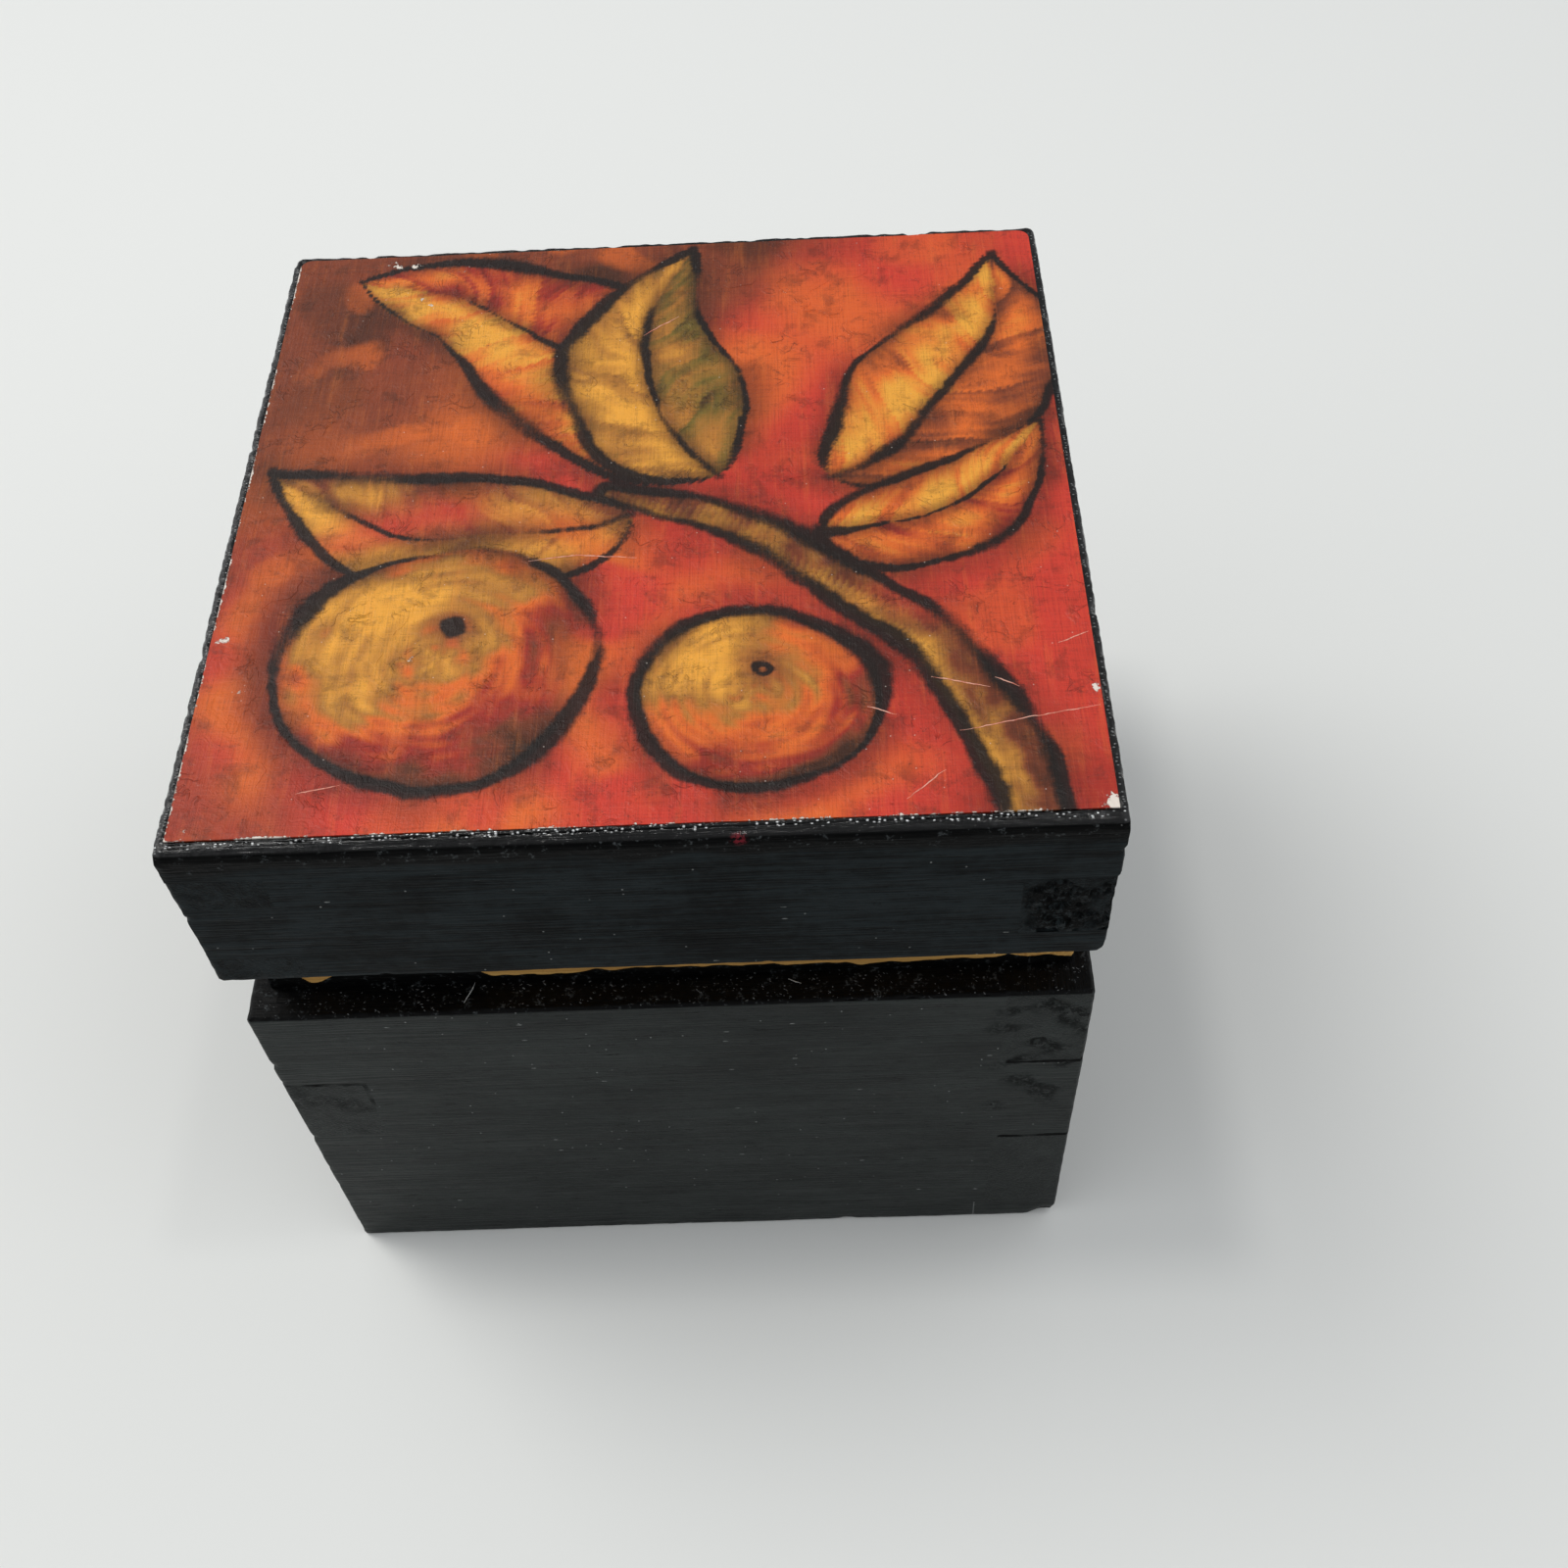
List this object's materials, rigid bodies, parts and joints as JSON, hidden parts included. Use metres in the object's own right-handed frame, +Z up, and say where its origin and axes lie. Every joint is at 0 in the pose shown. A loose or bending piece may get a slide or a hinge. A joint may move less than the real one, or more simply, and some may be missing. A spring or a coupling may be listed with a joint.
{
  "type": "wooden trinket box",
  "caption": "Small cubic black-painted wooden trinket box with finger-jointed walls and a lift-off lid carrying a varnished picture sheet.",
  "frame": {"origin": "middle of the underside, on the surface that the box stands on", "axes": "+Z up, along the way the lid lifts; the front, with the lid's rounded upper edge, looks along -Y; +X to the right seen from the front"},
  "size_m": [0.1, 0.099, 0.096],
  "materials": {
    "painted_board": "wood under hand-brushed black gloss paint, bare ochre wood inside and near the top of the neck",
    "painted_panel": "thin wooden panel under hand-brushed black gloss paint, bare ochre wood inside",
    "picture_sheet": "painted paper picture in reds, orange and ochre under semi-gloss varnish with scratches"
  },
  "bodies": {
    "body": {"body_floor_panel": "painted_panel", "body_front_board": "painted_board", "body_right_board": "painted_board", "body_back_board": "painted_board", "body_left_board": "painted_board"},
    "lid": {"lid_front_rail": "painted_board", "lid_right_rail": "painted_board", "lid_back_rail": "painted_board", "lid_left_rail": "painted_board", "lid_top_panel": "painted_panel", "lid_print": "picture_sheet"}
  },
  "joints": [
    {"name": "lid_lift", "type": "slide", "parent": "body", "child": "lid", "axis": [0, 0, 1], "range_m": [0, 0.08]}
  ]
}
